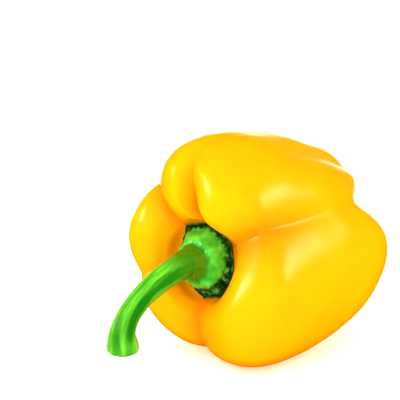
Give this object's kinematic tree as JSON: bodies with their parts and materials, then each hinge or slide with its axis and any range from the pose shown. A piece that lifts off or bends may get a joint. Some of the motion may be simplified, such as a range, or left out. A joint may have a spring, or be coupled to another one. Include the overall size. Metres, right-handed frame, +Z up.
{
  "type": "bell pepper",
  "caption": "Whole yellow bell pepper lying on its side: a waxy, lobed fruit with a toothed green calyx and a curved green stem, for kitchen, market and pick-and-place scenes.",
  "frame": {"origin": "on the surface that the pepper lies on, under the middle of its bounding box", "axes": "+Z up, the stem end looks towards -Y and is raised 5 degrees, +X to the right when the stem end is looked at"},
  "size_m": [0.079, 0.1162, 0.0817],
  "materials": {
    "fruit_skin": "smooth waxy pepper skin, glossy, deep yellow that warms to orange in the creases",
    "calyx_green": "leathery green calyx, satin dome and a rough dark rim",
    "stem_green": "fresh green stalk, satin, with long ribs and a paler cut end"
  },
  "bodies": {
    "root": {"pepper_fruit": "fruit_skin", "calyx": "calyx_green", "stem": "stem_green"}
  },
  "joints": []
}
